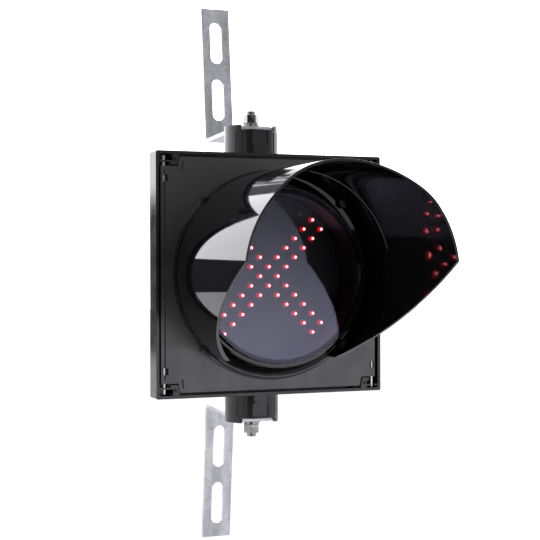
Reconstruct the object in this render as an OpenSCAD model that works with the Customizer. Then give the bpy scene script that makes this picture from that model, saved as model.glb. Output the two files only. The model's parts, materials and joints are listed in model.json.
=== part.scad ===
// Lane-control traffic signal head: a square housing with a hinged door, a round red-cross
// LED optic under a cutaway visor, held between two galvanised strip brackets.
// +Z is up and the front faces -Y. The origin lies on the rear mounting plane of the
// brackets, midway between the upper and the lower one. All sizes are in millimetres.

/* [Housing] */
// Width and height of the square front face
face_w = 300; // [296:1:304]
// Depth of the wide front rim
rim_depth = 26; // [25:1:30]
// Wall thickness of the front rim
rim_wall = 3.7; // [3:0.1:4]
// Width of the deep rear box
box_w = 232; // [230:1:236]
// Height of the deep rear box
box_h = 292; // [290:1:294]
// Depth of the housing behind the front plane
box_depth = 128; // [124:1:130]
// Wall thickness of the rear box
box_wall = 3.5; // [3:0.1:4]

/* [Mounting] */
// Distance from the swivel axis to the bend of each bracket
arm = 125; // [120:1:150]
// Distance from the swivel axis to the front plane
setback = 73; // [70:1:76]
// Width of the bracket strip
strip_w = 40; // [36:1:42]
// Thickness of the bracket strip
strip_t = 5; // [4:0.5:6]
// Slope of each bracket's arm towards the housing, in degrees
arm_slope = 3; // [0:1:5]
// Backward lean of each bracket's slotted leg, in degrees
leg_lean = 6; // [0:1:8]
// Height of each bracket's outer end above or below the centre
bracket_end = 368; // [360:1:400]
// Height of the outer slot's centre
outer_slot_z = 320; // [318:1:326]
// Height of the inner slot's centre
inner_slot_z = 240; // [238:1:246]
// Width of the mounting slots
slot_w = 17; // [13:1:18]
// End-to-end length of the mounting slots
slot_len = 58; // [50:1:60]
// Radius of the castellated swivel collars
collar_r = 34.5; // [34:0.5:36]

/* [Door] */
// Depth of the door's skirt behind its front
door_depth = 14; // [13:1:15]
// Gap between the door's edge and the rim
door_gap = 3.2; // [3:0.1:3.6]
// Inset of the hinge and latch pins from the door's edge
pin_inset = 4; // [4:0.1:4.5]
// Diameter of the hinge and latch pins
pin_d = 4.6; // [4:0.2:4.8]

/* [Visor] */
// Outer radius of the visor tube
visor_r = 127.5; // [127:0.5:129]
// Wall thickness of the visor
visor_wall = 3; // [2.5:0.5:3.5]
// Reach of the visor's front edge in front of the face
visor_reach = 241; // [225:1:250]
// Reach of the visor's top edge in front of the face
visor_top_reach = 217.5; // [205:0.5:222]

/* [Optic] */
// Radius of the flat front lens
lens_r = 107; // [106:0.5:107.5]
// Height of the lens front above the door
lens_front = 33.5; // [32:0.5:35]
// Drop of the optic's centre below the centre of the face
optic_drop = 2.5; // [0:0.5:3]
// Spacing of the LED grid
led_pitch = 11.85; // [11.5:0.05:12]
// Number of grid steps from the centre to the end of each arm
led_steps = 6; // [4:1:6]

/* [Hidden] */
$fn = 64;
EPS = 0.02;
RUN = 0.08;
FACING = 0.3;

// Colours
GALVANISED = [0.72, 0.73, 0.74];
ZINC = [0.62, 0.62, 0.6];
SATIN_BLACK = [0.16, 0.16, 0.17];
GLOSS_BLACK = [0.06, 0.06, 0.07];
HUB_GREY = [0.25, 0.25, 0.27];
RUBBER = [0.05, 0.05, 0.05];
STEEL = [0.75, 0.75, 0.76];

// Housing
half_face = face_w / 2;
step_wall = 4;
tray_floor = -rim_depth + step_wall;
tray_half = half_face - rim_wall;
throat_half = 112;
box_corner_r = 16;

// Hub stack, heights above the centre
box_top = box_h / 2;
boss_r = 24;
boss_top = 172;
pad_drop = 5.5;
pad_r = 18;
bolt_r = 6;
head_h = 7.5;
head_af = 19;
nut_h = 10.8;
seat_z = 184;
lobe_top = 190;
disc_t = 4;
washer_t = 2.5;
spring_washer_t = 3;
strip_top = seat_z + strip_t;
washer_top = strip_top + washer_t;
spring_top = washer_top + spring_washer_t;
bolt_head_z = box_top - pad_drop - FACING;
bolt_end = 210.2;
nut_turns = [45, 5];

// Upper bracket seen from the side
slot_cut = 40;
bend_in = 2.5;
bend_out = bend_in + strip_t;
arm_start = collar_r + 2;
arm_run = arm - arm_start - bend_out;
leg_base = strip_top - arm_run * sin(arm_slope) + bend_in * (cos(arm_slope) - sin(leg_lean));
leg_length = (bracket_end - leg_base) / cos(leg_lean);
bend_reach = bend_in * sin(arm_slope) + bend_out * cos(leg_lean);
reach = arm_start + arm_run * cos(arm_slope) + bend_reach + leg_length * sin(leg_lean);

// Door
door_half = tray_half - door_gap;
panel_inset = 5;
panel_step = 2.5;
skin_t = 4;
skirt_t = 3;
notch_v = 131.7;
notch_us = [123.8, 121.4];
notch_lean = 3.3;
opening_r = 112.6;
pin_r = pin_d / 2;
pin_u = door_half - pin_inset;
pin_n = -5;
pin_tops = [145.9, 145.2];
pin_low = 103;
bore_low = 93;
lug_lows = [141.6, 136.2];
lug_t = 2;
keeper_front = -1;
keeper_w = 6;
keeper_screw_v = 139.8;
barrel_low = 101;
window_low = 112.6;
window_h = 8.2;
groove_t = 1.4;
mark_w = 5.5;
mark_u = 97;
mark_v = 123.6;

// Visor
flange_r = 131;
flange_t = 3.2;
ring_top = 9;
visor_screw_r = 128.6;
screw_head_z = 4.2;
kink_v = 15;
brow_v = 90.6;
brow_r = 40;
cut_v = -103;
cut_low = 36;

// Optic
bezel_in = lens_r + FACING;
bezel_r = 112;
bezel_top = lens_front - 4.5;
lens_t = 3.5;
gasket_t = 1.6;
joint_r = 118;
joint_t = 2.6;
joint_z = -skin_t - 0.1 - joint_t;
clamp_r = 125;
clamp_t = 1.6;
clamp_lip = 1.4;
clamp_z = joint_z - joint_t - clamp_lip - clamp_t;
pan_r = lens_r - 0.6;
pan_wall = 2.4;
pan_top = lens_front - lens_t - gasket_t;
pan_floor = -24;
can_r = 75;
can_floor = -66;
board_r = 100;
board_back = -18;
board_t = 1.6;
led_r = 2.5;
driver_back = -58;

standoff_r = 91;
driver_w = 104;
driver_h = 84;
driver_hole_x = 46;
driver_hole_y = 36;
lead_drop = 45;
grommet_r = 6;

// Supply terminals and cable gland
gland_u = 60;
gland_v = -60;
gland_af = 24;
gland_gap = 0.4;
gland_hex_t = 6;
gland_thread = 12;
cable_r = 6.5;
rail_u = -20;
rail_v = -98;
rail_len = 110;
rail_z = -box_depth + box_wall;
rail_screw_u = 46;
rail_t = 1.2;
rail_h = 7.5;
terminal_pitch = 6.2;
terminal_count = 5;
terminal_screw_v = 17;
terminal_well = 12;

// Maps local x, y, z to across, up and outward from the front plane.
module on_face() {
    translate([0, -(reach + setback), 0])
        rotate([90, 0, 0])
            children();
}

module on_optic() {
    on_face()
        translate([0, -optic_drop, 0])
            children();
}

module at_hub(lower) {
    mirror([0, 0, lower])
        translate([0, -reach, 0])
            children();
}

// Children are drawn for the upper right corner of the face.
module at_corner(left, lower) {
    mirror([left, 0, 0])
        mirror([0, lower, 0])
            children();
}

module every_corner() {
    for (left = [0, 1], lower = [0, 1])
        at_corner(left, lower)
            children();
}

module around(count, radius, start = 0) {
    for (i = [0 : count - 1])
        rotate(start + i * 360 / count)
            translate([radius, 0, 0])
                children();
}

module ring(outer, inner, t) {
    difference() {
        cylinder(r = outer, h = t);
        translate([0, 0, -1])
            cylinder(r = inner, h = t + 2);
    }
}

module hexagon(af, t) {
    cylinder(r = af / sqrt(3), h = t, $fn = 6);
}

module rounded_rect(w, h, r) {
    square([w - 2 * r, h], center = true);
    square([w, h - 2 * r], center = true);
    for (sx = [-1, 1], sy = [-1, 1])
        translate([sx * (w / 2 - r), sy * (h / 2 - r)])
            circle(r = r);
}

module rounded_slab(w, h, r, t) {
    linear_extrude(t)
        rounded_rect(w, h, r);
}

// A machine screw with a domed head; the head's underside is at z = 0.
module pan_screw(r, length, head_r, head_t) {
    translate([0, 0, -length])
        cylinder(r = r, h = length + EPS);
    difference() {
        union() {
            cylinder(r = head_r, h = head_t * 0.6);
            translate([0, 0, head_t * 0.6])
                cylinder(r = head_r * 0.8, h = head_t * 0.4);
        }
        for (turn = [0, 90])
            rotate(turn)
                translate([-head_r * 0.55, -0.4, head_t * 0.5])
                    cube([head_r * 1.1, 0.8, head_t]);
    }
}

// ---- Brackets and swivel hardware ----

// The arm leaves the collar level, slopes towards the housing and turns up into the leg.
// The bend laps a little into the arm and the leg.
module bracket_profile() {
    lap = 0.1;
    lap_angle = 1;
    beyond = 2 * bend_out;
    front_end = -reach - strip_w / 2;
    slope_start = -reach + arm_start;
    slope_end = slope_start + arm_run * cos(arm_slope);
    end_top = strip_top - arm_run * sin(arm_slope);
    polygon([
        [front_end, seat_z], [slope_start - strip_t * tan(arm_slope / 2), seat_z],
        [slope_end - strip_t * sin(arm_slope), end_top - strip_t * cos(arm_slope)],
        [slope_end, end_top], [slope_start, strip_top], [front_end, strip_top]
    ]);
    translate([slope_end + bend_in * sin(arm_slope), end_top + bend_in * cos(arm_slope)]) {
        intersection() {
            difference() {
                circle(r = bend_out - EPS);
                circle(r = bend_in + EPS);
            }
            rotate(-arm_slope)
                polygon([
                    [0, 0], [-lap, 0], [-lap, -beyond], [beyond, -beyond],
                    [beyond, -beyond * tan(leg_lean - arm_slope - lap_angle)]
                ]);
        }
        rotate(-leg_lean)
            translate([bend_in, 0])
                square([strip_t, leg_length]);
    }
}

module slot_cutter(z) {
    straight = slot_len - slot_w;
    translate([0, 1, z])
        rotate([90, 0, 0])
            linear_extrude(slot_cut) {
                square([slot_w, straight], center = true);
                for (s = [-1, 1])
                    translate([0, s * straight / 2])
                        circle(d = slot_w);
            }
}

module bracket() {
    difference() {
        translate([-strip_w / 2, 0, 0])
            rotate([90, 0, 90])
                linear_extrude(strip_w)
                    bracket_profile();
        translate([0, -reach, seat_z - 1])
            cylinder(r = bolt_r + 0.5, h = strip_t + 2);
        slot_cutter(outer_slot_z);
        slot_cutter(inner_slot_z);
    }
}

module bracket_upper() {
    color(GALVANISED)
        bracket();
}

module bracket_lower() {
    color(GALVANISED)
        mirror([0, 0, 1])
            bracket();
}

module swivel_collar(lower) {
    base_z = box_top + disc_t + FACING;
    recess_w = 21.5;
    channel = strip_w + 5;
    at_hub(lower)
        difference() {
            union() {
                translate([0, 0, base_z])
                    cylinder(r = collar_r, h = seat_z - base_z);
                translate([0, 0, base_z])
                    cylinder(r = collar_r + 1.2, h = 2.5);
                translate([0, 0, seat_z])
                    difference() {
                        ring(collar_r, collar_r - 6.5, lobe_top - seat_z);
                        cube([channel, 3 * collar_r, 3 * lobe_top], center = true);
                    }
            }
            translate([0, 0, base_z - 1])
                cylinder(r = boss_r + FACING, h = boss_top + FACING - base_z + 1);
            cylinder(r = bolt_r + 0.3, h = lobe_top);
            for (turn = [0, 180])
                rotate(turn) {
                    translate([-recess_w / 2, -collar_r - 2, seat_z - 19])
                        cube([recess_w, 5.5, 17]);
                    translate([-recess_w / 2 + 2, -collar_r - 2, base_z + 4])
                        cube([recess_w - 4, 3.2, 8]);
                }
            for (turn = [45 : 90 : 315], side = [-8, 8])
                rotate(turn + side)
                    translate([0, -collar_r - 0.6, base_z + 3])
                        cylinder(r = 1.6, h = seat_z - base_z - 6, $fn = 24);
        }
}

module swivel_collar_upper() {
    color(HUB_GREY)
        swivel_collar(0);
}

module swivel_collar_lower() {
    color(HUB_GREY)
        swivel_collar(1);
}

module hub_bolts() {
    color(ZINC)
        for (lower = [0, 1])
            at_hub(lower) {
                translate([0, 0, bolt_head_z - head_h])
                    hexagon(head_af, head_h);
                translate([0, 0, bolt_head_z - EPS])
                    cylinder(r = bolt_r, h = bolt_end - bolt_head_z);
            }
}

module flat_washers() {
    color(ZINC)
        for (lower = [0, 1])
            at_hub(lower)
                translate([0, 0, strip_top])
                    ring(12, bolt_r + 0.5, washer_t);
}

module spring_washers() {
    color(ZINC)
        for (lower = [0, 1])
            at_hub(lower)
                translate([0, 0, washer_top])
                    difference() {
                        ring(10.2, bolt_r + 0.2, spring_washer_t);
                        rotate(200)
                            translate([0, -0.8, -1])
                                cube([12, 1.6, spring_washer_t + 2]);
                    }
}

module hub_nuts() {
    color(ZINC)
        for (lower = [0, 1])
            at_hub(lower)
                translate([0, 0, spring_top])
                    difference() {
                        rotate(nut_turns[lower])
                            hexagon(head_af, nut_h);
                        translate([0, 0, -1])
                            cylinder(r = bolt_r, h = nut_h + 2);
                    }
}

// ---- Housing ----

// Box with rounded edges, from depth z0 (negative) forward to z1.
module deep_box(w, h, r, z0, z1) {
    intersection() {
        translate([0, 0, z0])
            rounded_slab(w, h, r, z1 - z0);
        rotate([90, 0, 0])
            translate([0, 0, -h])
                linear_extrude(2 * h)
                    translate([0, z0 + r])
                        union() {
                            translate([-w / 2, 0])
                                square([w, z1 - z0]);
                            translate([-w / 2 + r, -r])
                                square([w - 2 * r, r + 1]);
                            for (s = [-1, 1])
                                translate([s * (w / 2 - r), 0])
                                    circle(r = r);
                        }
    }
}

module rear_housing() {
    inner_w = box_w - 2 * box_wall;
    inner_h = box_h - 2 * box_wall;
    color(SATIN_BLACK) {
        difference() {
            union() {
                on_face() {
                    translate([0, 0, -rim_depth])
                        rounded_slab(face_w, face_w, 2.5, rim_depth);
                    deep_box(box_w, box_h, box_corner_r, -box_depth, -rim_depth + EPS);
                }
                for (lower = [0, 1])
                    at_hub(lower)
                        translate([0, 0, box_top - 1])
                            cylinder(r = boss_r, h = boss_top - box_top + 1);
            }
            on_face() {
                translate([0, 0, tray_floor])
                    rounded_slab(2 * tray_half, 2 * tray_half, 2, rim_depth);
                translate([0, 0, -rim_depth - 1])
                    rounded_slab(2 * throat_half, 2 * throat_half, 6, rim_depth);
                difference() {
                    deep_box(inner_w, inner_h, box_corner_r - box_wall, -box_depth + box_wall, -rim_depth);
                    for (lower = [0, 1])
                        mirror([0, lower, 0])
                            translate([0, box_top - pad_drop, -setback])
                                rotate([-90, 0, 0])
                                    cylinder(r = pad_r, h = pad_drop);
                }
                translate([gland_u, gland_v, -box_depth - 1])
                    cylinder(r = 10.2, h = box_wall + 2);
            }
            for (lower = [0, 1])
                at_hub(lower)
                    translate([0, 0, box_top - pad_drop - 1])
                        cylinder(r = bolt_r + RUN, h = boss_top - box_top + pad_drop + 2);
        }
    }
}

module friction_discs() {
    color(RUBBER)
        for (lower = [0, 1])
            at_hub(lower)
                translate([0, 0, box_top])
                    ring(33, boss_r + RUN, disc_t);
}

// L-shaped keeper in a door notch, with the lug that receives a pin. The hinge side has a
// round eye. The latch side's eye is open to the front.
module corner_keeper(left) {
    leg_u = notch_us[left] + 1.2;
    leg_end = leg_u + keeper_w;
    foot_v = notch_v + 1.5;
    foot_h = 4;
    foot_w = 3;
    plate_t = 3;
    post_v = 137.5;
    post_h = 7;
    eye_r = left ? pin_r + RUN : pin_r + FACING;
    difference() {
        union() {
            translate([0, 0, keeper_front - plate_t])
                linear_extrude(plate_t)
                    polygon([
                        [leg_u, foot_v], [leg_u - notch_lean + 0.6, tray_half],
                        [leg_end, tray_half], [leg_end, foot_v + foot_h],
                        [leg_end + foot_w, foot_v + foot_h], [leg_end + foot_w, foot_v]
                    ]);
            translate([leg_u, post_v, tray_floor])
                cube([keeper_w, post_h, keeper_front - tray_floor - plate_t + EPS]);
            translate([leg_end - 1, lug_lows[left], pin_n - 4.5])
                cube([tray_half - leg_end + 1, lug_t, keeper_front - pin_n + 4.5]);
        }
        translate([pin_u, lug_lows[left] - 1, pin_n])
            rotate([-90, 0, 0])
                cylinder(r = eye_r, h = lug_t + 2);
        if (!left)
            translate([pin_u - eye_r, lug_lows[left] - 1, pin_n])
                cube([2 * eye_r, lug_t + 2, -2 * pin_n]);
        translate([leg_u + keeper_w / 2, keeper_screw_v, keeper_front - 14])
            cylinder(r = 1.25, h = 15);
    }
}

module corner_keepers() {
    color(HUB_GREY)
        on_face()
            for (left = [0, 1], lower = [0, 1])
                at_corner(left, lower)
                    corner_keeper(left);
}

module keeper_screws() {
    color(RUBBER)
        on_face()
            for (left = [0, 1], lower = [0, 1])
                at_corner(left, lower)
                    translate([notch_us[left] + 1.2 + keeper_w / 2, keeper_screw_v, keeper_front])
                        pan_screw(1.25, 12, 1.9, 1);
}

module on_gland() {
    on_face()
        translate([gland_u, gland_v, -box_depth])
            mirror([0, 0, 1])
                children();
}

module gland_body() {
    color(SATIN_BLACK)
        on_gland()
            difference() {
                union() {
                    hexagon(gland_af, gland_hex_t);
                    translate([0, 0, -box_wall - 7])
                        cylinder(r = 10, h = box_wall + 8);
                    cylinder(r = 9.6, h = gland_thread);
                }
                translate([0, 0, -20])
                    cylinder(r = cable_r, h = 40);
            }
}

module gland_cap() {
    color(SATIN_BLACK)
        on_gland()
            difference() {
                translate([0, 0, gland_hex_t + gland_gap]) {
                    hexagon(gland_af, 8);
                    translate([0, 0, 8])
                        cylinder(r1 = 11, r2 = 8, h = 5);
                }
                translate([0, 0, -EPS])
                    cylinder(r = 9.7, h = gland_thread + gland_gap);
                cylinder(r = cable_r, h = 30);
            }
}

module gland_seal() {
    color(RUBBER)
        on_gland()
            translate([0, 0, gland_thread + gland_gap])
                ring(cable_r - EPS, 4.2, 6);
}

module gland_locknut() {
    color(SATIN_BLACK)
        on_gland()
            translate([0, 0, -box_wall - 5])
                difference() {
                    hexagon(gland_af, 5);
                    translate([0, 0, -1])
                        cylinder(r = 10, h = 7);
                }
}

module terminal_rail() {
    edge = 17.5;
    side = 13.5;
    color(STEEL)
        on_face()
            translate([rail_u, rail_v, rail_z])
                difference() {
                    rotate([0, 90, 0])
                        linear_extrude(rail_len, center = true)
                            polygon([
                                [0, -side], [rail_t - rail_h, -side], [rail_t - rail_h, -edge],
                                [-rail_h, -edge], [-rail_h, rail_t - side], [-rail_t, rail_t - side],
                                [-rail_t, side - rail_t], [-rail_h, side - rail_t], [-rail_h, edge],
                                [rail_t - rail_h, edge], [rail_t - rail_h, side], [0, side]
                            ]);
                    for (s = [-1, 1])
                        translate([s * rail_screw_u, 0, -1])
                            cylinder(r = 2.3, h = 4);
                }
}

module rail_screws() {
    color(STEEL)
        on_face()
            for (s = [-1, 1])
                translate([rail_u + s * rail_screw_u, rail_v, rail_z + rail_t])
                    pan_screw(2, rail_t, 4, 2.6);
}

module on_terminals() {
    on_face()
        for (i = [0 : terminal_count - 1])
            translate([
                rail_u + (i - (terminal_count - 1) / 2) * terminal_pitch,
                rail_v,
                rail_z + rail_h
            ])
                children();
}

module terminal_block() {
    color([0.75, 0.76, 0.76])
        on_terminals()
            rotate([0, 90, 0])
                difference() {
                    linear_extrude(terminal_pitch - 0.2, center = true)
                        polygon([
                            [0, -21], [-14, -21], [-20, -14], [-28, -12],
                            [-28, 12], [-20, 14], [-14, 21], [0, 21]
                        ]);
                    for (s = [-1, 1])
                        translate([-2 * terminal_well, s * terminal_screw_v, 0])
                            rotate([0, 90, 0])
                                cylinder(r = 1.9, h = terminal_well);
                }
}

module terminal_screws() {
    color(ZINC)
        on_terminals()
            for (s = [-1, 1])
                translate([0, s * terminal_screw_v, terminal_well])
                    difference() {
                        cylinder(r = 1.8, h = 2.4, $fn = 24);
                        translate([-2, -0.3, 1.6])
                            cube([4, 0.6, 2]);
                    }
}

// ---- Door ----

module notch(left, grow) {
    notch_u = notch_us[left] - grow;
    polygon([
        [notch_u - notch_lean, half_face], [notch_u, notch_v - grow],
        [half_face, notch_v - grow], [half_face, half_face]
    ]);
}

module door_outline(inset) {
    half = door_half - inset;
    difference() {
        rounded_rect(2 * half, 2 * half, 2);
        for (left = [0, 1], lower = [0, 1])
            at_corner(left, lower)
                notch(left, inset);
    }
}

module pin_barrel() {
    barrel_w = 5;
    translate([pin_u - barrel_w, barrel_low, 2 - door_depth])
        cube([barrel_w + pin_inset - EPS, notch_v - barrel_low, door_depth - 2 - panel_step]);
}

module pin_passages() {
    translate([pin_u, bore_low, pin_n])
        rotate([-90, 0, 0])
            cylinder(r = pin_r + RUN, h = half_face - bore_low);
    translate([pin_u - pin_r - 2, window_low, pin_n])
        cube([2 * pin_r + 2.4, window_h, 10]);
}

// Children are drawn on the axis of each screw that clamps the optic's module.
module at_clamps(z) {
    translate([0, -optic_drop, z])
        around(6, clamp_r, 30)
            children();
}

module door_panel() {
    boss_low = -door_depth + 1;
    clamp_boss = clamp_z + clamp_t;
    color(SATIN_BLACK)
        on_face()
            difference() {
                union() {
                    difference() {
                        union() {
                            translate([0, 0, -door_depth])
                                linear_extrude(door_depth - panel_step)
                                    door_outline(0);
                            translate([0, 0, -panel_step - EPS])
                                linear_extrude(panel_step + EPS)
                                    door_outline(panel_inset);
                        }
                        translate([0, 0, -door_depth - 1])
                            linear_extrude(door_depth + 1 - skin_t)
                                door_outline(skirt_t);
                    }
                    every_corner() {
                        pin_barrel();
                        rotate(45)
                            translate([visor_screw_r, 0, boss_low])
                                cylinder(r = 5, h = -skin_t / 2 - boss_low);
                    }
                    at_clamps(clamp_boss)
                        cylinder(r = 4.5, h = -skin_t / 2 - clamp_boss);
                }
                translate([0, -optic_drop, -door_depth - 1])
                    cylinder(r = opening_r, h = door_depth + 2, $fn = 128);
                every_corner() {
                    pin_passages();
                    rotate(45)
                        translate([visor_screw_r, 0, -door_depth])
                            cylinder(r = 2, h = door_depth + 1);
                }
                at_clamps(clamp_boss - 1)
                    cylinder(r = 1.5, h = -skin_t / 2 - clamp_boss + 0.4);
                translate([-mark_u - mark_w / 2, mark_v - mark_w / 2, -FACING])
                    cube([mark_w, mark_w, 1]);
            }
}

module door_gasket() {
    gap = 0.4;
    seat = 1.8;
    bead_w = 6;
    color(RUBBER)
        on_face()
            translate([0, 0, tray_floor + gap])
                linear_extrude(seat - door_depth - tray_floor - gap)
                    difference() {
                        door_outline(skirt_t);
                        door_outline(skirt_t + bead_w);
                    }
}

module visor_shell() {
    step_z = 78;
    inner = visor_r - visor_wall;
    rotate_extrude($fn = 180)
        polygon([
            [bezel_r + 1.4, 0], [flange_r, 0], [flange_r, flange_t - 0.8], [flange_r - 0.8, flange_t],
            [visor_r + 0.8, flange_t], [visor_r, flange_t + 1.5], [visor_r, visor_reach + 5],
            [inner, visor_reach + 5], [inner, step_z + 1], [inner - 0.8, step_z],
            [inner - 0.8, ring_top], [bezel_r + 1.4, ring_top - 4]
        ]);
}

// Side profile that the tube keeps, drawn as distance from the face and height.
module visor_outline() {
    above = visor_r + 5;
    back_slope = (visor_reach - visor_top_reach) / (visor_r - brow_v);
    brow_angle = atan(back_slope);
    brow_t = brow_r * tan(brow_angle / 2);
    polygon([
        [-1, -above], [ring_top, -above], [ring_top, cut_v], [cut_low, cut_v],
        [visor_reach, kink_v], [visor_reach, brow_v - brow_t],
        [visor_reach - brow_t * sin(brow_angle), brow_v + brow_t * cos(brow_angle)],
        [visor_reach - back_slope * (above - brow_v), above], [-1, above]
    ]);
    translate([visor_reach - brow_r, brow_v - brow_t])
        circle(r = brow_r, $fn = 180);
}

module visor() {
    pocket_top = 18;
    color(GLOSS_BLACK)
        on_face()
            difference() {
                union() {
                    intersection() {
                        visor_shell();
                        rotate([0, -90, 0])
                            linear_extrude(2 * flange_r + 2, center = true)
                                visor_outline();
                    }
                    intersection() {
                        every_corner()
                            rotate(45)
                                translate([visor_screw_r - 1, 0, 0])
                                    cylinder(r = 7.5, h = pocket_top + 3);
                        cylinder(r = visor_r - 0.5, h = 40, $fn = 180);
                    }
                }
                every_corner()
                    rotate(45)
                        translate([visor_screw_r, 0, 0]) {
                            translate([0, 0, screw_head_z])
                                cylinder(r = 4.6, h = pocket_top - screw_head_z);
                            translate([0, 0, -1])
                                cylinder(r = 2.1, h = 10);
                        }
                // clears the bezel
                translate([0, -optic_drop, -1])
                    cylinder(r = bezel_r + 0.6, h = 60, $fn = 128);
            }
}

module visor_screws() {
    color(STEEL)
        on_face()
            every_corner()
                rotate(45)
                    translate([visor_screw_r, 0, screw_head_z])
                        pan_screw(2, 16, 3.9, 2.8);
}

// ---- Optic ----

module lens() {
    edge = 1;
    color([0.5, 0.52, 0.56, 0.45])
        on_optic()
            rotate_extrude($fn = 180)
                polygon([
                    [0, lens_front - lens_t], [lens_r, lens_front - lens_t],
                    [lens_r, lens_front - edge], [lens_r - edge, lens_front], [0, lens_front]
                ]);
}

module lens_gasket() {
    color(RUBBER)
        on_optic()
            translate([0, 0, pan_top])
                ring(pan_r, pan_r - 5, gasket_t, $fn = 128);
}

module lens_bezel() {
    edge = 1.5;
    color(GLOSS_BLACK)
        on_optic()
            rotate_extrude($fn = 180)
                polygon([
                    [bezel_in, joint_z], [joint_r, joint_z], [joint_r, joint_z + joint_t],
                    [bezel_r, joint_z + joint_t], [bezel_r, bezel_top - edge],
                    [bezel_r - edge, bezel_top], [bezel_in, bezel_top]
                ]);
}

module module_pan() {
    lip = 5;
    color(SATIN_BLACK)
        on_optic()
            difference() {
                rotate_extrude($fn = 180)
                    polygon([
                        [0, can_floor - pan_wall], [can_r, can_floor - pan_wall],
                        [can_r, pan_floor - pan_wall], [pan_r, pan_floor - pan_wall],
                        [pan_r, joint_z - joint_t], [joint_r, joint_z - joint_t],
                        [joint_r, joint_z], [pan_r, joint_z],
                        [pan_r, pan_top], [pan_r - lip, pan_top], [pan_r - lip, pan_top - 2],
                        [pan_r - pan_wall, pan_top - 2 - lip + pan_wall],
                        [pan_r - pan_wall, pan_floor], [can_r - pan_wall, pan_floor],
                        [can_r - pan_wall, can_floor], [0, can_floor]
                    ]);
                translate([0, -lead_drop, can_floor - pan_wall - 1])
                    cylinder(r = grommet_r, h = pan_wall + 2);
            }
}

module module_clamps() {
    inner = 9.5;
    color(STEEL)
        on_face()
            at_clamps(clamp_z)
                difference() {
                    union() {
                        translate([-inner, -6, 0])
                            cube([inner + 5, 12, clamp_t]);
                        translate([-inner, -6, clamp_t - EPS])
                            cube([2, 12, clamp_lip]);
                    }
                    translate([0, 0, -1])
                        cylinder(r = 1.8, h = 4);
                }
}

module clamp_screws() {
    color(STEEL)
        on_face()
            at_clamps(clamp_z)
                mirror([0, 0, 1])
                    pan_screw(1.5, 7.5, 2.9, 1.5);
}

module led_board() {
    color([0.1, 0.11, 0.12])
        on_optic()
            translate([0, 0, board_back])
                difference() {
                    cylinder(r = board_r, h = board_t, $fn = 128);
                    around(6, standoff_r)
                        translate([0, 0, -1])
                            cylinder(r = 1.7, h = 4);
                }
}

module led() {
    cylinder(r = led_r + 0.4, h = 1.1, $fn = 24);
    cylinder(r = led_r, h = 4.4, $fn = 24);
    translate([0, 0, 4.4])
        sphere(r = led_r, $fn = 24);
}

module led_emitters() {
    color([0.95, 0.1, 0.12])
        on_optic()
            for (i = [-led_steps : led_steps], j = [-led_steps : led_steps])
                if (abs(i - j) == 1 || abs(i + j) == 1)
                    translate([i * led_pitch, j * led_pitch, board_back + board_t])
                        led();
}

module board_standoffs() {
    color(ZINC)
        on_optic()
            around(6, standoff_r)
                translate([0, 0, pan_floor])
                    difference() {
                        hexagon(6, board_back - pan_floor);
                        translate([0, 0, 1])
                            cylinder(r = 1.5, h = 10, $fn = 24);
                    }
}

module board_screws() {
    color(STEEL)
        on_optic()
            around(6, standoff_r)
                translate([0, 0, board_back + board_t])
                    pan_screw(1.5, 5, 2.8, 1.9);
}

module driver_corners() {
    for (sx = [-1, 1], sy = [-1, 1])
        translate([sx * driver_hole_x, sy * driver_hole_y, 0])
            children();
}

module driver_board() {
    color([0.1, 0.35, 0.18])
        on_optic()
            translate([0, 0, driver_back])
                difference() {
                    rounded_slab(driver_w, driver_h, 3, board_t);
                    driver_corners()
                        translate([0, 0, -1])
                            cylinder(r = 1.6, h = 4);
                }
}

module driver_standoffs() {
    color(ZINC)
        on_optic()
            driver_corners() {
                translate([0, 0, can_floor])
                    hexagon(6, driver_back - can_floor);
                translate([0, 0, driver_back - EPS])
                    cylinder(r = 1.5, h = board_t + 2);
                translate([0, 0, driver_back + board_t])
                    hexagon(5.5, 2.4);
            }
}

module driver_transformer() {
    core_w = 38;
    core_d = 32;
    color([0.3, 0.28, 0.26])
        on_optic()
            translate([-22, 12, driver_back + board_t]) {
                translate([-core_w / 2, -core_d / 2, 0])
                    cube([core_w, core_d, 6]);
                translate([-core_w / 2, -core_d / 2, 6 - EPS])
                    cube([6, core_d, 12]);
                translate([core_w / 2 - 6, -core_d / 2, 6 - EPS])
                    cube([6, core_d, 12]);
                translate([-core_w / 2, -core_d / 2, 18 - 2 * EPS])
                    cube([core_w, core_d, 6]);
                cylinder(r = 11, h = 20);
            }
}

module driver_capacitors() {
    color([0.12, 0.16, 0.3])
        on_optic()
            for (at = [[16, 26, 7, 21], [33, 24, 5, 17], [16, 8, 5, 17]])
                translate([at[0], at[1], driver_back + board_t])
                    cylinder(r = at[2], h = at[3], $fn = 48);
}

module driver_heatsink() {
    fin_count = 7;
    color([0.7, 0.7, 0.72])
        on_optic()
            translate([4, -30, driver_back + board_t]) {
                cube([36, 3, 20]);
                for (i = [0 : fin_count - 1])
                    translate([i * (36 - 1.2) / (fin_count - 1), 3 - EPS, 0])
                        cube([1.2, 12, 20]);
            }
}

module lead_grommet() {
    color(RUBBER)
        on_optic()
            translate([0, -lead_drop, can_floor - pan_wall])
                rotate_extrude()
                    polygon([
                        [3, -3], [8, -3], [8, 0], [grommet_r, 0], [grommet_r, pan_wall],
                        [8, pan_wall], [8, pan_wall + 2], [3, pan_wall + 2]
                    ]);
}

// ---- Hinge and latch pins ----

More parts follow.
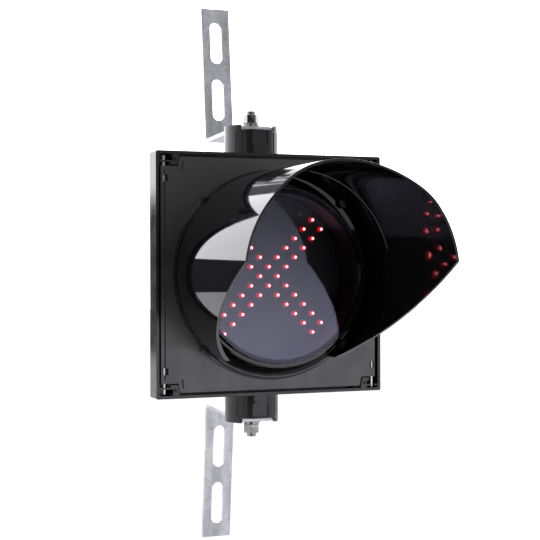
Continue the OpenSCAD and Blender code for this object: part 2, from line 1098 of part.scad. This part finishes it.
// A round pin with chamfered ends. A screwdriver slides it by the grooves in the window.
module sliding_pin(left, lower) {
    chamfer = 1.2;
    length = pin_tops[left] - pin_low;
    color(STEEL)
        on_face()
            at_corner(left, lower)
                difference() {
                    translate([pin_u, pin_low, pin_n])
                        rotate([-90, 0, 0])
                            rotate_extrude()
                                polygon([
                                    [0, 0], [pin_r - chamfer, 0], [pin_r, chamfer],
                                    [pin_r, length - chamfer], [pin_r - chamfer, length], [0, length]
                                ]);
                    for (at = [window_low + 1, window_low + window_h - 2.4])
                        translate([pin_u, at, pin_n])
                            rotate([-90, 0, 0])
                                ring(2 * pin_r, pin_r - 0.7, groove_t);
                }
}

module hinge_pin_upper() {
    sliding_pin(1, 0);
}

module hinge_pin_lower() {
    sliding_pin(1, 1);
}

module latch_pin_upper() {
    sliding_pin(0, 0);
}

module latch_pin_lower() {
    sliding_pin(0, 1);
}

bracket_upper();
bracket_lower();
swivel_collar_upper();
swivel_collar_lower();
hub_bolts();
flat_washers();
spring_washers();
hub_nuts();
rear_housing();
friction_discs();
corner_keepers();
keeper_screws();
gland_body();
gland_cap();
gland_seal();
gland_locknut();
terminal_rail();
rail_screws();
terminal_block();
terminal_screws();
door_panel();
door_gasket();
visor();
visor_screws();
lens();
lens_gasket();
lens_bezel();
module_pan();
module_clamps();
clamp_screws();
led_board();
led_emitters();
board_standoffs();
board_screws();
driver_board();
driver_standoffs();
driver_transformer();
driver_capacitors();
driver_heatsink();
lead_grommet();
hinge_pin_upper();
hinge_pin_lower();
latch_pin_upper();
latch_pin_lower();
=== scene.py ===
"""Lane-control traffic signal head: looks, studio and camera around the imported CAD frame.

Everything is in metres in the CAD frame: +Z up, -Y out of the front, origin on the rear
mounting plane of the brackets. `at_face` places points given as across, up and outward
from the middle of the housing's front plane.
"""

import json
import math

import bmesh
import bpy
from mathutils import Matrix, Vector


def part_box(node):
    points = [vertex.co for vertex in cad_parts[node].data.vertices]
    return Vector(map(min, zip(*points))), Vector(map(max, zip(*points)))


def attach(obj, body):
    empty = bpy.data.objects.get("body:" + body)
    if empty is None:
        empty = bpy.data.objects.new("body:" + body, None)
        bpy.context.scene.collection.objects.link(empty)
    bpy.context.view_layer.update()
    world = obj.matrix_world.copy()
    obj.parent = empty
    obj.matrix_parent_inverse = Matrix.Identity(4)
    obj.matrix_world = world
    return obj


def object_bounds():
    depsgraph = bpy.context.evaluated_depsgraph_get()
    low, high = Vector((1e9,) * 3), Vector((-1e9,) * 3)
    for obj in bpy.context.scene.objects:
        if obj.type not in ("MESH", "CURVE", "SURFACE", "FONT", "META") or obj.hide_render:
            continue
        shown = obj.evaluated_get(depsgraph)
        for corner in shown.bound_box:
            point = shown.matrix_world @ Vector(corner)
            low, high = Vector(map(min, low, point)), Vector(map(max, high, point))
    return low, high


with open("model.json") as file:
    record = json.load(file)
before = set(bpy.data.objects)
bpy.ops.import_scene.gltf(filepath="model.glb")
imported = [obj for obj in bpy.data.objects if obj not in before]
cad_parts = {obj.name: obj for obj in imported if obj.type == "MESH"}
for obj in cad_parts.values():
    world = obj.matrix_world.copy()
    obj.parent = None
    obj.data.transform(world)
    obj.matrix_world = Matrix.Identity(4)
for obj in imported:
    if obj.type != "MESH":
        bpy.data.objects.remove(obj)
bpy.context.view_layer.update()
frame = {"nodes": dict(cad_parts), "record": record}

MM = 0.001

# Places read from the frame
FACE_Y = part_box("door_panel")[0].y
BOARD_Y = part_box("led_board")[0].y
LED_LOW, LED_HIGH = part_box("led_emitters")


def at_face(across, up, out):
    """A point given in mm across, up and outward from the middle of the front plane."""
    return Vector((across * MM, FACE_Y - out * MM, up * MM))


# ---------------------------------------------------------------- camera

VIEW_AZIMUTH = math.radians(-21.796)
VIEW_DROP = math.radians(0.318)
VIEW_ROLL = math.radians(-0.139)
VIEW_DISTANCE = 1.592
VIEW_AIM = at_face(-2.75, 5.28, 0)
LENS_MM = 85.41
SENSOR_MM = 36
CLIP_NEAR = 0.01
CLIP_FAR = 60


def make_camera():
    """A long lens that looks at the front from its left, at the height of the middle."""
    data = bpy.data.cameras.new("camera")
    data.lens = LENS_MM
    data.sensor_width = SENSOR_MM
    data.clip_start = CLIP_NEAR
    data.clip_end = CLIP_FAR
    camera = bpy.data.objects.new("camera", data)
    bpy.context.scene.collection.objects.link(camera)
    back = Vector((
        math.sin(VIEW_AZIMUTH) * math.cos(VIEW_DROP),
        -math.cos(VIEW_AZIMUTH) * math.cos(VIEW_DROP),
        math.sin(VIEW_DROP),
    ))
    camera.rotation_mode = "QUATERNION"
    turn = (-back).to_track_quat("-Z", "Y")
    camera.rotation_quaternion = turn @ Matrix.Rotation(VIEW_ROLL, 3, "Z").to_quaternion()
    camera.location = VIEW_AIM + back * VIEW_DISTANCE
    bpy.context.scene.camera = camera


# ---------------------------------------------------------------- materials

class Nodes:
    """A short way to write a material's node tree."""

    def __init__(self, name):
        self.material = bpy.data.materials.new(name)
        self.material.use_nodes = True
        self.tree = self.material.node_tree
        self.shader = self.tree.nodes["Principled BSDF"]
        self.coords = self.add("ShaderNodeTexCoord").outputs["Object"]

    def add(self, kind, **settings):
        """A new node with its settings."""
        node = self.tree.nodes.new(kind)
        for key, value in settings.items():
            setattr(node, key, value)
        return node

    def link(self, a, b):
        self.tree.links.new(a, b)

    def set(self, **values):
        """Fixed values on the shader's own sockets; an underscore stands for a space."""
        for key, value in values.items():
            self.shader.inputs[key.replace("_", " ")].default_value = value

    def noise(self, scale, detail=3.0, rough=0.5, coords=None):
        """Noise of `scale` cells per metre in object space, or along other coordinates."""
        node = self.add("ShaderNodeTexNoise")
        node.inputs["Scale"].default_value = scale
        node.inputs["Detail"].default_value = detail
        node.inputs["Roughness"].default_value = rough
        self.link(coords or self.coords, node.inputs["Vector"])
        return node.outputs["Fac"]

    def ramp(self, value, low, high, dark, light):
        """value between low and high becomes a colour or grey between dark and light."""
        node = self.add("ShaderNodeValToRGB")
        node.color_ramp.elements[0].position = low
        node.color_ramp.elements[1].position = high
        node.color_ramp.elements[0].color = colour(dark)
        node.color_ramp.elements[1].color = colour(light)
        self.link(value, node.inputs["Fac"])
        return node.outputs["Color"]

    def bump(self, height, distance, strength, after=None):
        """A bumped normal, `distance` metres deep, on top of another one where given."""
        node = self.add("ShaderNodeBump")
        node.inputs["Strength"].default_value = strength
        node.inputs["Distance"].default_value = distance
        self.link(height, node.inputs["Height"])
        if after is not None:
            self.link(after, node.inputs["Normal"])
        return node.outputs["Normal"]

    def plug(self, value, socket):
        """A varying value into one of the shader's sockets."""
        self.link(value, self.shader.inputs[socket])


def colour(value):
    """An opaque colour from a grey level or from red, green and blue."""
    if isinstance(value, (int, float)):
        value = (value, value, value)
    return (*value, 1.0)


def moulded_plastic(name, dark, light, rough, grain=900, depth=0.02, mottle=6.0, shine=0.5):
    """Moulded plastic with a fine spark-eroded grain and slight colour variation."""
    n = Nodes(name)
    n.plug(n.ramp(n.noise(mottle, 4), 0.35, 0.65, dark, light), "Base Color")
    n.plug(n.ramp(n.noise(40, 4), 0.3, 0.7, rough - 0.05, rough + 0.06), "Roughness")
    n.plug(n.bump(n.noise(grain, 2), depth * MM, 0.6), "Normal")
    n.set(Specular_IOR_Level=shine)
    return n.material


def gloss_plastic(name, base, rough, wave=9, depth=0.05):
    """Polished moulded plastic: a faint long ripple and scattered dust."""
    n = Nodes(name)
    dust = n.ramp(n.noise(420, 6, 0.7), 0.62, 0.8, base, tuple(c + 0.02 for c in base))
    n.plug(dust, "Base Color")
    n.plug(n.ramp(n.noise(55, 5), 0.35, 0.75, rough, rough + 0.05), "Roughness")
    n.plug(n.bump(n.noise(wave, 2), depth * MM, 0.5), "Normal")
    n.set(Specular_IOR_Level=0.5)
    return n.material


SPANGLE_SCALE = 260
SPANGLE_SHARE = 0.12
STREAK_STRETCH = 0.22


def galvanised(name):
    """Hot-dip zinc: spangled crystals, streaks along the strip and a slightly rough skin."""
    n = Nodes(name)
    cells = n.add("ShaderNodeTexVoronoi", feature="F1")
    cells.inputs["Scale"].default_value = SPANGLE_SCALE
    n.link(n.coords, cells.inputs["Vector"])
    drawn = n.add("ShaderNodeMapping")
    drawn.inputs["Scale"].default_value = (1.0, 1.0, STREAK_STRETCH)
    n.link(n.coords, drawn.inputs["Vector"])
    streaks = n.noise(60, 6, 0.6, coords=drawn.outputs["Vector"])
    spangle = n.add("ShaderNodeSeparateColor")
    n.link(cells.outputs["Color"], spangle.inputs["Color"])
    mix = n.add("ShaderNodeMath", operation="MULTIPLY_ADD")
    n.link(spangle.outputs["Red"], mix.inputs[0])
    mix.inputs[1].default_value = SPANGLE_SHARE
    n.link(streaks, mix.inputs[2])
    value = mix.outputs["Value"]
    n.plug(n.ramp(value, 0.38, 0.74, (0.40, 0.41, 0.43), (0.72, 0.73, 0.75)), "Base Color")
    n.plug(n.ramp(value, 0.4, 0.75, 0.30, 0.50), "Roughness")
    grit = n.bump(n.noise(700, 4), 0.03 * MM, 0.5)
    n.plug(n.bump(value, 0.08 * MM, 0.5, after=grit), "Normal")
    n.set(Metallic=0.85)
    return n.material


def metal(name, dark, light, rough, scale=90, depth=0.01):
    """Bright or plated metal with fine handling marks."""
    n = Nodes(name)
    marks = n.noise(scale, 6, 0.7)
    n.plug(n.ramp(marks, 0.3, 0.75, dark, light), "Base Color")
    n.plug(n.ramp(marks, 0.3, 0.7, rough, rough + 0.14), "Roughness")
    n.plug(n.bump(n.noise(scale * 7, 3), depth * MM, 0.5), "Normal")
    n.set(Metallic=1.0)
    return n.material


def rubber(name):
    """Matt seal rubber."""
    n = Nodes(name)
    n.plug(n.ramp(n.noise(70, 5), 0.3, 0.7, 0.010, 0.024), "Base Color")
    n.plug(n.ramp(n.noise(300, 3), 0.3, 0.7, 0.6, 0.8), "Roughness")
    n.plug(n.bump(n.noise(1500, 3), 0.02 * MM, 0.7), "Normal")
    return n.material


def clear_lens(name):
    """Polished clear cover: glass-like gloss over the dark space behind it."""
    n = Nodes(name)
    n.set(Base_Color=colour((0.93, 0.94, 0.97)), Transmission_Weight=1.0, IOR=1.49)
    n.set(Specular_Tint=colour((0.74, 0.73, 1.0)))
    n.plug(n.ramp(n.noise(180, 5, 0.7), 0.55, 0.8, 0.0, 0.02), "Roughness")
    n.plug(n.bump(n.noise(5, 1), 0.02 * MM, 0.3), "Normal")
    return n.material


def lit_diode(name, core, body, strength, raised_share=0.6, core_from=0.62, core_full=0.93):
    """A lit dome: near white where it faces along the diode's own axis, red around it.

    raised_share is how much of the diode's height may show the core, measured from its tip;
    core_from and core_full are the forward parts of the normal where the core starts and
    is complete.
    """
    n = Nodes(name)
    normal = n.add("ShaderNodeSeparateXYZ")
    n.link(n.add("ShaderNodeTexCoord").outputs["Normal"], normal.inputs["Vector"])
    towards = n.add("ShaderNodeMath", operation="MULTIPLY")
    n.link(normal.outputs["Y"], towards.inputs[0])
    towards.inputs[1].default_value = -1.0
    # the flange faces forward too, so the core is kept to the raised part of the dome
    place = n.add("ShaderNodeSeparateXYZ")
    n.link(n.add("ShaderNodeTexCoord").outputs["Generated"], place.inputs["Vector"])
    raised = n.add("ShaderNodeMath", operation="LESS_THAN")
    n.link(place.outputs["Y"], raised.inputs[0])
    raised.inputs[1].default_value = raised_share
    facing = n.add("ShaderNodeMath", operation="MULTIPLY")
    n.link(towards.outputs["Value"], facing.inputs[0])
    n.link(raised.outputs["Value"], facing.inputs[1])
    n.plug(n.ramp(facing.outputs["Value"], core_from, core_full, body, core), "Emission Color")
    n.plug(n.ramp(n.noise(300, 2), 0.3, 0.7, 0.10, 0.16), "Roughness")
    n.plug(n.bump(n.noise(500, 2), 0.01 * MM, 0.4), "Normal")
    n.set(Base_Color=colour(body), Emission_Strength=strength)
    return n.material


def glow_material(name, tint, strength, falloff=2.2):
    """Red light fading with the distance from a diode; the mesh carries the distance."""
    n = Nodes(name)
    fade = n.add("ShaderNodeAttribute", attribute_name="fade")
    haze = n.add("ShaderNodeMath", operation="POWER")
    n.link(fade.outputs["Fac"], haze.inputs[0])
    haze.inputs[1].default_value = falloff
    gain = n.add("ShaderNodeMath", operation="MULTIPLY")
    n.link(haze.outputs["Value"], gain.inputs[0])
    gain.inputs[1].default_value = strength
    n.plug(gain.outputs["Value"], "Emission Strength")
    n.plug(n.ramp(n.noise(60, 4), 0.35, 0.65, 0.012, 0.018), "Base Color")
    n.plug(n.ramp(n.noise(200, 3), 0.3, 0.7, 0.30, 0.40), "Roughness")
    n.plug(n.bump(n.noise(900, 2), 0.01 * MM, 0.5), "Normal")
    n.set(Emission_Color=colour(tint))
    return n.material


MATERIALS = {}


def keep(recipe, name, *values, **options):
    """Makes a material by its recipe and keeps it under its name."""
    MATERIALS[name] = recipe(name, *values, **options)


def make_materials():
    keep(galvanised, "galvanised_strip")
    keep(metal, "zinc_hardware", (0.24, 0.24, 0.235), (0.42, 0.42, 0.41), 0.07)
    keep(metal, "stainless", (0.50, 0.50, 0.51), (0.70, 0.70, 0.71), 0.16)
    keep(metal, "black_screw", (0.03, 0.03, 0.03), (0.07, 0.07, 0.07), 0.30)
    keep(moulded_plastic, "collar_plastic", 0.010, 0.016, 0.20)
    keep(moulded_plastic, "housing_plastic", 0.010, 0.015, 0.17, shine=0.45)
    keep(moulded_plastic, "door_plastic", 0.013, 0.017, 0.34, shine=1.0)
    keep(gloss_plastic, "visor_plastic", (0.003, 0.003, 0.0035), 0.03)
    keep(gloss_plastic, "bezel_plastic", (0.004, 0.004, 0.005), 0.14)
    keep(moulded_plastic, "pan_plastic", 0.002, 0.004, 0.55)
    keep(moulded_plastic, "terminal_plastic", 0.22, 0.28, 0.45)
    keep(rubber, "rubber_seal")
    keep(clear_lens, "lens_clear")
    keep(moulded_plastic, "board_black", 0.002, 0.004, 0.45)
    keep(moulded_plastic, "board_green", (0.01, 0.10, 0.03), (0.02, 0.15, 0.05), 0.3)
    keep(lit_diode, "led_red", (1.0, 0.20, 0.25), (0.06, 0.0004, 0.001), 8.0)
    keep(glow_material, "led_glow", (1.0, 0.01, 0.03), 0.34)
    keep(moulded_plastic, "transformer_core", 0.04, 0.06, 0.5)
    keep(gloss_plastic, "capacitor_sleeve", (0.01, 0.015, 0.06), 0.25)
    keep(metal, "heatsink_metal", (0.5, 0.5, 0.51), (0.66, 0.66, 0.67), 0.35)


# ---------------------------------------------------------------- CAD nodes that stay

BEVEL_MM = {
    "rear_housing": 0.8, "door_panel": 0.5, "bracket_upper": 0.5, "bracket_lower": 0.5,
    "swivel_collar_upper": 0.6, "swivel_collar_lower": 0.6, "hub_nuts": 0.7, "hub_bolts": 0.6,
    "corner_keepers": 0.3, "visor": 0.5,
}
BEVEL_DEFAULT_MM = 0.2
BEVEL_ANGLE = math.radians(22)
BEVEL_SEGMENTS = 2
WELD_MM = 0.004
FLAT_FACE_WEIGHT = 100

# nodes that look darker than the rest of their slot
LOOKS = {
    "visor_screws": "black_screw",
    "board_screws": "black_screw",
    "clamp_screws": "black_screw",
}


def polish(name, node):
    """Welds the node's imported triangles, rounds its edges and smooths its curved faces."""
    mesh = node.data
    if "custom_normal" in mesh.attributes:
        mesh.attributes.remove(mesh.attributes["custom_normal"])
    mesh.shade_smooth()
    weld = node.modifiers.new("weld", "WELD")
    weld.merge_threshold = WELD_MM * MM
    bevel = node.modifiers.new("bevel", "BEVEL")
    bevel.limit_method = "ANGLE"
    bevel.angle_limit = BEVEL_ANGLE
    bevel.width = BEVEL_MM.get(name, BEVEL_DEFAULT_MM) * MM
    bevel.segments = BEVEL_SEGMENTS
    bevel.use_clamp_overlap = True
    even = node.modifiers.new("even", "WEIGHTED_NORMAL")
    even.weight = FLAT_FACE_WEIGHT


def finish_nodes():
    """Gives every CAD node the look of its slot, and its edges."""
    slots = {s["node"]: s["material_slot"] for s in frame["record"]["subparts"]}
    for name, node in frame["nodes"].items():
        node.data.materials.clear()
        node.data.materials.append(MATERIALS[LOOKS.get(name, slots[name])])
        polish(name, node)


# ---------------------------------------------------------------- pieces beside the CAD nodes

def finish_piece(name, mesh, look, body):
    """Turns a bmesh into a named piece that rides with a body of the assembly."""
    data = bpy.data.meshes.new(name)
    mesh.to_mesh(data)
    mesh.free()
    data.materials.append(MATERIALS[look])
    piece = bpy.data.objects.new(name, data)
    bpy.context.scene.collection.objects.link(piece)
    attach(piece, body)


DIODE_BASE = 2.9 * MM
GRID_STEPS = 6

# the film's rings, each with its radius and brightness
GLOW_RINGS = [(DIODE_BASE, 1.0), (3.3 * MM, 0.7), (3.8 * MM, 0.35), (4.6 * MM, 0.0)]
GLOW_TURNS = 24
GLOW_LIFT = 0.05 * MM


def diode_places():
    """Centres of the lit diodes on the board, from the box that holds them all."""
    middle = (LED_LOW + LED_HIGH) / 2
    pitch = (LED_HIGH.x - LED_LOW.x - 2 * DIODE_BASE) / (2 * GRID_STEPS)
    steps = range(-GRID_STEPS, GRID_STEPS + 1)
    return [
        Vector((middle.x + i * pitch, BOARD_Y, middle.z + j * pitch))
        for i in steps for j in steps if abs(i - j) == 1 or abs(i + j) == 1
    ]


def make_glow():
    """A thin film of red light on the board around each diode."""
    mesh = bmesh.new()
    fade = mesh.verts.layers.float.new("fade")
    for place in diode_places():
        rings = []
        for radius, brightness in GLOW_RINGS:
            ring = []
            for k in range(GLOW_TURNS):
                angle = 2 * math.pi * k / GLOW_TURNS
                x, z = radius * math.cos(angle), radius * math.sin(angle)
                vert = mesh.verts.new(place + Vector((x, -GLOW_LIFT, z)))
                vert[fade] = brightness
                ring.append(vert)
            rings.append(ring)
        for inner, outer in zip(rings, rings[1:]):
            for k in range(GLOW_TURNS):
                after = (k + 1) % GLOW_TURNS
                mesh.faces.new((inner[k], inner[after], outer[after], outer[k]))
    finish_piece("diode_glow", mesh, "led_glow", "door")


# ---------------------------------------------------------------- studio

STUDIO_TINT = (0.96, 0.955, 1.0)

# brightness of the surroundings in front and behind, and where one turns into the other
FRONT_LIGHT = 0.5
BACK_LIGHT = 3.1
FRONT_SIDE = -0.3
BACK_SIDE = 0.7

FLOOR_SIZE = 30
FLOOR_DROP = 0.25
FLOOR_SHADE = 0.62

KEY_PLACE = Vector((-1.2, -1.6, 1.8))
KEY_TARGET = Vector((0, -0.2, 0))
KEY_POWER = 14
KEY_SIZE = 1.2


def stage_material(name, shade, rough=0.6):
    """A matt surface with very slight clouding."""
    n = Nodes(name)
    n.plug(n.ramp(n.noise(3, 2), 0.3, 0.7, shade - 0.01, shade + 0.01), "Base Color")
    n.set(Roughness=rough)
    return n.material


def card(name, centre, facing, width, height, low, high=None):
    """A flat card that only reflections and light see, graded from its low to its high edge."""
    mesh = bpy.data.meshes.new(name)
    w, h = width / 2, height / 2
    mesh.from_pydata([(-w, -h, 0), (w, -h, 0), (w, h, 0), (-w, h, 0)], [], [(0, 1, 2, 3)])
    obj = bpy.data.objects.new(name, mesh)
    bpy.context.scene.collection.objects.link(obj)
    obj.location = centre
    obj.rotation_mode = "QUATERNION"
    obj.rotation_quaternion = Vector(facing).to_track_quat("Z", "Y")
    n = Nodes(name)
    n.set(Base_Color=colour(0.0), Specular_IOR_Level=0.0)
    n.set(Emission_Color=colour(STUDIO_TINT), Emission_Strength=low)
    if high is not None:
        axes = n.add("ShaderNodeSeparateXYZ")
        n.link(n.coords, axes.inputs["Vector"])
        span = n.add("ShaderNodeMapRange", interpolation_type="SMOOTHSTEP")
        span.inputs["From Min"].default_value = -h
        span.inputs["From Max"].default_value = h
        span.inputs["To Min"].default_value = low
        span.inputs["To Max"].default_value = high
        n.link(axes.outputs["Y"], span.inputs["Value"])
        n.plug(span.outputs["Result"], "Emission Strength")
    mesh.materials.append(n.material)
    obj.visible_camera = False
    obj.visible_shadow = False


def white_surround():
    """White all round: strong behind the head, soft in front of it."""
    world = bpy.data.worlds.new("world")
    bpy.context.scene.world = world
    world.use_nodes = True
    tree = world.node_tree
    background = tree.nodes["Background"]
    background.inputs["Color"].default_value = colour(STUDIO_TINT)
    way = tree.nodes.new("ShaderNodeTexCoord")
    axes = tree.nodes.new("ShaderNodeSeparateXYZ")
    tree.links.new(way.outputs["Generated"], axes.inputs["Vector"])
    span = tree.nodes.new("ShaderNodeMapRange")
    span.inputs["From Min"].default_value = FRONT_SIDE
    span.inputs["From Max"].default_value = BACK_SIDE
    span.inputs["To Min"].default_value = FRONT_LIGHT
    span.inputs["To Max"].default_value = BACK_LIGHT
    tree.links.new(axes.outputs["Y"], span.inputs["Value"])
    tree.links.new(span.outputs["Result"], background.inputs["Strength"])


def make_floor():
    floor_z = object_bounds()[0].z - FLOOR_DROP
    bpy.ops.mesh.primitive_plane_add(size=FLOOR_SIZE, location=(0, 0, floor_z))
    floor = bpy.context.object
    floor.name = "floor"
    floor.data.materials.append(stage_material("floor", FLOOR_SHADE))


def make_cards():
    # a dark wall strip behind on the left, and a grey panel high behind
    card("dark_strip", centre=(-0.68, 1.06, -0.015), facing=(0.37, -0.93, 0),
         width=0.62, height=0.36, low=0.05)
    card("grey_panel", centre=(0.30, 1.06, 0.72), facing=(-0.2, -0.9, -0.3),
         width=0.36, height=0.30, low=1.2)
    # a dim panel beside it, which the top of the visor mirrors as a grey band
    card("dim_panel", centre=(0.06, 1.29, 0.74), facing=(0, -1, 0),
         width=0.20, height=0.40, low=0.22)
    # the front-right card that the lens and the door mirror, bright low down
    card("front_graded", centre=(0.74, -1.90, -0.03), facing=(-0.37, 0.93, 0),
         width=1.3, height=0.66, low=2.5, high=0.25)
    # a dark panel around the viewpoint, which the nuts and collars mirror
    card("dark_panel", centre=(-0.80, -2.05, 0.1), facing=(0.37, 0.93, 0),
         width=1.2, height=1.5, low=0.04)


def make_key():
    """A soft key light from the upper left, in front."""
    key = bpy.data.lights.new("key", "AREA")
    key.energy = KEY_POWER
    key.size = KEY_SIZE
    lamp = bpy.data.objects.new("key", key)
    bpy.context.scene.collection.objects.link(lamp)
    lamp.location = KEY_PLACE
    lamp.rotation_mode = "QUATERNION"
    lamp.rotation_quaternion = (KEY_TARGET - KEY_PLACE).to_track_quat("-Z", "Y")


def make_studio():
    bpy.context.scene.view_settings.view_transform = "Standard"
    white_surround()
    make_floor()
    make_cards()
    make_key()


make_camera()
make_materials()
finish_nodes()
make_glow()
make_studio()
